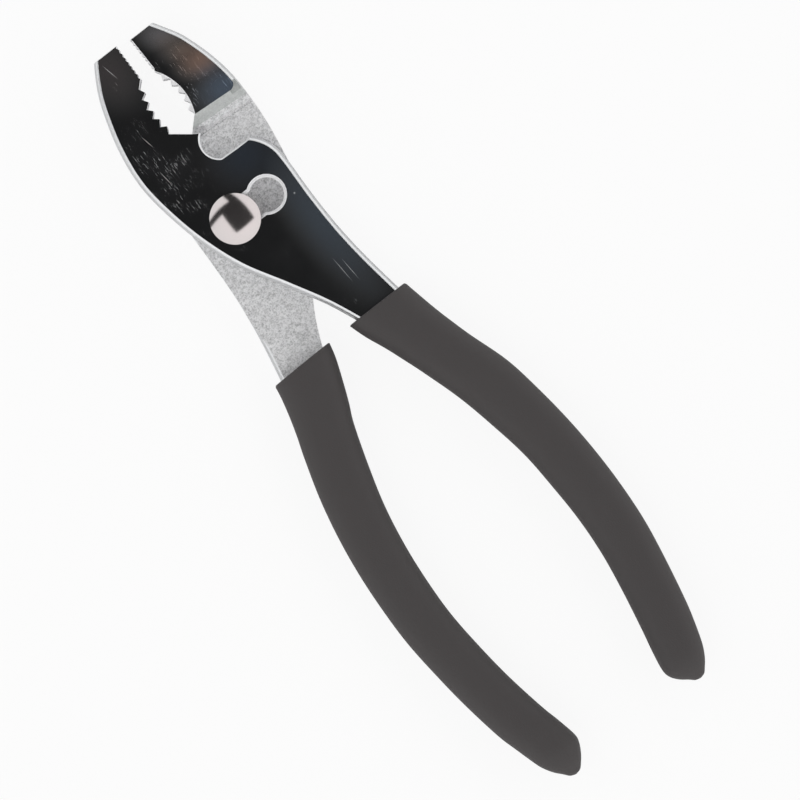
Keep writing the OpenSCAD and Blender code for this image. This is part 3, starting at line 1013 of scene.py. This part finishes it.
def blended(tree, mask, under, over):
    """One colour, or the socket of one, under another."""
    under, over = ((*tint, 1) if isinstance(tint, tuple) else tint for tint in (under, over))
    # the numbers stand for a Mix node's two colours and for the colour that comes out
    new = node(
        tree, "ShaderNodeMix", {"Factor": mask, 6: under, 7: over}, data_type="RGBA"
    )
    return new.outputs[2]


def principled(name, tint, metallic, roughness):
    material = bpy.data.materials.new(name)
    material.use_nodes = True
    shader = material.node_tree.nodes["Principled BSDF"]
    shader.inputs["Base Color"].default_value = (*tint, 1)
    shader.inputs["Metallic"].default_value = metallic
    shader.inputs["Roughness"].default_value = roughness
    return material, material.node_tree, shader


def bumped(tree, shader, height, strength, distance):
    bump = node(
        tree, "ShaderNodeBump", {"Height": height, "Strength": strength, "Distance": distance}
    )
    tree.links.new(bump.outputs["Normal"], shader.inputs["Normal"])


def polished_steel(name, tint, roughness, scratches, smears, centre=(0, 0), painted_reflections=(), streaks=()):
    """Polished steel under scratches, soft coloured spots of painted reflection and a few longer
    streaks.
    """
    scratch_grey, streak_grey, scratch_cover = (0.3, 0.3, 0.3), (0.4, 0.4, 0.4), 0.3
    material, tree, shader = principled(name, tint, 1, roughness)
    values = (roughness, scratches, smears, centre[0] / 1000, centre[1] / 1000)
    worn = group_node(tree, "Worn polish", worn_group, values)
    tree.links.new(worn.outputs["Roughness"], shader.inputs["Roughness"])
    bumped(tree, shader, worn.outputs["Height"], 0.5, 0.00003)
    over, cover = scratch_grey, product(tree, worn.outputs["Lines"], scratch_cover)
    # soft tinted spots of painted reflection, laid over the steel's colour
    for reflection_tint, strength, *where in painted_reflections:
        mask = spot(tree, *where)
        over = blended(tree, mask, over, reflection_tint)
        cover = maths(tree, "MAXIMUM", cover, product(tree, mask, strength))
    for streak in streaks:
        mask = spot(tree, *streak)
        over = blended(tree, mask, over, streak_grey)
        cover = maths(tree, "MAXIMUM", cover, mask)
    # a half covered place looks half way between the colour laid over it, such as a painted
    # reflection, and the dark that the steel mirrors, which is about a fortieth as bright
    dark = 0.025
    share = maths(tree, "DIVIDE", cover, maths(tree, "MULTIPLY_ADD", cover, 1 - dark, dark))
    tree.links.new(blended(tree, share, tuple(tint), over), shader.inputs["Base Color"])
    tree.links.new(maths(tree, "SUBTRACT", 1, cover), shader.inputs["Metallic"])
    return material


def grained_steel(name, tint, metallic, roughness, grains, mottling, strength, distance):
    """Steel with a blasted, machined or forged grain and a mottled colour, and on the ramps a
    darker colour of painted shade.
    """
    uneven, darkest = 0.08, 0.6
    material, tree, shader = principled(name, tint, metallic, roughness)
    grain = group_node(tree, "Grain", grain_group, (grains, mottling))
    bumped(tree, shader, grain.outputs["Height"], strength, distance)
    mottle = grain.outputs["Mottle"]
    rough = ramped(tree, mottle, 0.3, 0.7, roughness - uneven, roughness + uneven)
    tree.links.new(rough, shader.inputs["Roughness"])
    dark = tuple(c * (1 - darkest * mottling) for c in tint)
    shade = ramped(tree, mottle, 0.37, 0.56)
    tree.links.new(blended(tree, shade, dark, tuple(tint)), shader.inputs["Base Color"])
    return material


def steel_set(name, centre, painted_reflections, streaks=()):
    """The finishes of a forging, in the order of its material numbers."""
    c = colours()
    polished = polished_steel(
        name + " polished", c.polished, roughness=0.11, scratches=1, smears=1,
        centre=centre, painted_reflections=painted_reflections, streaks=streaks,
    )
    return [polished] + [
        grained_steel(f"{name} {finish}", getattr(c, tint), *looks)
        for finish, tint, *looks in GRAINED
    ]


def grip_material(name):
    """Matte dipped vinyl with a fine grain."""
    material, tree, shader = principled(name, colours().grip, metallic=0, roughness=0.62)
    shader.inputs["Specular IOR Level"].default_value = 0.35
    grain = group_node(tree, "Grain", grain_group, (2400, 0.4))
    bumped(tree, shader, grain.outputs["Height"], 0.35, 0.00012)
    return material


# Operators


class PLIERS_OT_front_half(bpy.types.Operator):
    """The forging with the slot, whose polished face is up"""

    bl_idname = "pliers.front_half"
    bl_label = "Front half"

    def execute(self, context):
        s = sizes()
        steel = steel_set("Front", FRONT_WORN, FRONT_PAINTED_REFLECTIONS, FRONT_STREAKS)
        obj = forging(
            "front_half_steel", FRONT_LEFT, FRONT_RIGHT, FRONT_JAW, FRONT_NOTCH,
            s.front_hollow, 0, FRONT_SLOPE_SHARE, steel,
        )
        combined(obj, slot_cut(steel), "DIFFERENCE")
        finished(placed(obj, on_lap()))
        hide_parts("front_half")
        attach(obj, "front")
        return {"FINISHED"}


class PLIERS_OT_rear_half(bpy.types.Operator):
    """The forging that carries the nut, whose polished face is at the back"""

    bl_idname = "pliers.rear_half"
    bl_label = "Rear half"

    def execute(self, context):
        s = sizes()
        steel = steel_set("Rear", REAR_WORN, REAR_PAINTED_REFLECTIONS)
        obj = forging(
            "rear_half_steel", REAR_LEFT, REAR_RIGHT, REAR_JAW, REAR_NOTCH,
            s.rear_hollow, s.rest_open, REAR_SLOPE_SHARE, steel,
        )
        top = s.forging_t / 2
        bore = round_cut(s.bolt_d / 2 + BORE_FIT, -OVERRUN, 2 * top, steel)
        combined(obj, bore, "DIFFERENCE")
        recess = s.nut_w / 2 / math.cos(math.pi / 6) + s.nut_gap
        deep = s.nut_t - s.nut_stand + s.nut_gap
        combined(obj, round_cut(recess, top - deep, 2 * top, steel), "DIFFERENCE")
        finished(placed(obj, turned_over()))
        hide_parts("rear_half")
        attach(obj, "rear")
        return {"FINISHED"}


class PLIERS_OT_pivot(bpy.types.Operator):
    """The domed bolt and its nut"""

    bl_idname = "pliers.pivot"
    bl_label = "Bolt and nut"

    def execute(self, context):
        tint = colours().bolt
        steel = polished_steel(
            "Bolt steel", tint, roughness=0.12, scratches=0.1, smears=0.5, painted_reflections=BOLT_PAINTED_REFLECTIONS
        )
        obj = bolt(steel)
        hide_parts("pivot_bolt")
        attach(obj, "bolt")
        steel = polished_steel("Nut steel", tint, roughness=0.24, scratches=0.6, smears=0.5)
        obj = nut(steel)
        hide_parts("pivot_nut")
        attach(obj, "nut")
        return {"FINISHED"}


class PLIERS_OT_grips(bpy.types.Operator):
    """The two dipped grips"""

    bl_idname = "pliers.grips"
    bl_label = "Grips"

    def execute(self, context):
        vinyl = grip_material("Dipped vinyl")
        for name, rows, place in (
            ("front", FRONT_GRIP, on_lap()), ("rear", REAR_GRIP, turned_over()),
        ):
            obj = grip(name + "_grip_vinyl", rows, vinyl, place)
            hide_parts(name + "_grip")
            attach(obj, name)
        return {"FINISHED"}


class PLIERS_OT_studio(bpy.types.Operator):
    """The floor, the light and the camera"""

    bl_idname = "pliers.studio"
    bl_label = "Studio"

    def execute(self, context):
        floor_and_light()
        camera()
        return {"FINISHED"}


def floor_and_light():
    """A wide pale floor, which looks lighter to the camera than it lights the tool."""
    half = 3000
    corners = [(-half, -half, 0), (half, -half, 0), (half, half, 0), (-half, half, 0)]
    floor = finished(made("floor", corners, [(0, 1, 2, 3)]))
    material, tree, shader = principled(
        "Pale floor", colours().floor, metallic=0, roughness=0.9
    )
    glow = node(tree, "ShaderNodeEmission").outputs["Emission"]
    seen = node(tree, "ShaderNodeLightPath").outputs["Is Camera Ray"]
    both = node(tree, "ShaderNodeMixShader", {
        "Fac": product(tree, seen, 0.9), 1: shader.outputs["BSDF"], 2: glow,
    })
    tree.links.new(both.outputs["Shader"], tree.nodes["Material Output"].inputs["Surface"])
    floor.data.materials.append(material)
    world_light()


def world_light():
    """A white room with a dark opening overhead, which the polished faces mirror."""
    world = bpy.data.worlds.new("Studio")
    bpy.context.scene.world = world
    world.use_nodes = True
    tree = world.node_tree
    tree.nodes.clear()
    aim = split(tree, node(tree, "ShaderNodeTexCoord").outputs["Generated"])
    up = maths(tree, "MAXIMUM", aim["Z"], 0.02)
    across = maths(tree, "DIVIDE", aim["X"], up)
    along = maths(tree, "DIVIDE", aim["Y"], up)

    def beyond(value, edge, turn=1):
        soft = 0.03 * turn
        return ramped(tree, value, edge - soft, edge + soft)

    # the opening's edges, as slopes across and along: right of the branch it runs on past the high
    # edge, and above the sill it runs on past the left one
    left, branch, right = -0.29, 0.225, 0.664
    low, sill, high = -0.426, 0.462, 0.782
    above, below = beyond(along, low), beyond(along, high, -1)
    dark = maths(
        tree, "MAXIMUM", product(tree, beyond(across, left), above, below),
        product(tree, beyond(across, branch), above),
    )
    dark = maths(tree, "MAXIMUM", dark, product(tree, beyond(along, sill), below))
    dark = product(tree, dark, beyond(across, right, -1))
    room, opening = 1.4, 0.025
    light = maths(tree, "SUBTRACT", room, product(tree, dark, room - opening))
    # the camera itself sees plain white
    seen = node(tree, "ShaderNodeLightPath").outputs["Is Camera Ray"]
    light = total(tree, product(tree, maths(tree, "SUBTRACT", 1, seen), light), seen)
    shade = node(tree, "ShaderNodeBackground", {"Strength": light})
    node(tree, "ShaderNodeOutputWorld", {"Surface": shade.outputs["Background"]})


def camera():
    """Straight above the tool, turned so that the jaws point up and to the left."""
    height, face_z, frame_w = 2, 0.006, 0.1895
    middle = (0.00434, -0.0577)
    right, up = Vector((0.7880, -0.6157, 0)), Vector((0.6157, 0.7880, 0))
    data = bpy.data.cameras.new("camera")
    data.sensor_width = 36
    data.lens = data.sensor_width * height / frame_w
    data.clip_start = 0.1
    data.clip_end = 20
    obj = bpy.data.objects.new("camera", data)
    turn = Matrix((right, up, Vector((0, 0, 1)))).transposed().to_4x4()
    obj.matrix_world = Matrix.Translation((*middle, height + face_z)) @ turn
    bpy.context.scene.collection.objects.link(obj)
    bpy.context.scene.camera = obj


class PLIERS_PT_panel(bpy.types.Panel):
    """Sizes, colours and the steps that make the tool"""

    bl_idname = "PLIERS_PT_panel"
    bl_label = "Pliers"
    bl_space_type = "VIEW_3D"
    bl_region_type = "UI"
    bl_category = "Pliers"

    def draw(self, context):
        for group in (context.scene.pliers_sizes, context.scene.pliers_colours):
            column = self.layout.column()
            for name in group.__annotations__:
                column.prop(group, name)
        for step in STEPS:
            self.layout.operator(step.bl_idname)


STEPS = (
    PLIERS_OT_studio,
    PLIERS_OT_front_half,
    PLIERS_OT_rear_half,
    PLIERS_OT_pivot,
    PLIERS_OT_grips,
)
CLASSES = (PliersSizes, PliersColours, *STEPS, PLIERS_PT_panel)


def register():
    for cls in CLASSES:
        bpy.utils.register_class(cls)
    bpy.types.Scene.pliers_sizes = bpy.props.PointerProperty(type=PliersSizes)
    bpy.types.Scene.pliers_colours = bpy.props.PointerProperty(type=PliersColours)


def unregister():
    del bpy.types.Scene.pliers_colours
    del bpy.types.Scene.pliers_sizes
    for cls in reversed(CLASSES):
        bpy.utils.unregister_class(cls)


def main():
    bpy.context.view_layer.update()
    register()
    bpy.context.scene.view_settings.view_transform = "Standard"
    bpy.ops.pliers.studio()
    bpy.ops.pliers.front_half()
    bpy.ops.pliers.rear_half()
    bpy.ops.pliers.pivot()
    bpy.ops.pliers.grips()


if __name__ == "__main__":
    main()
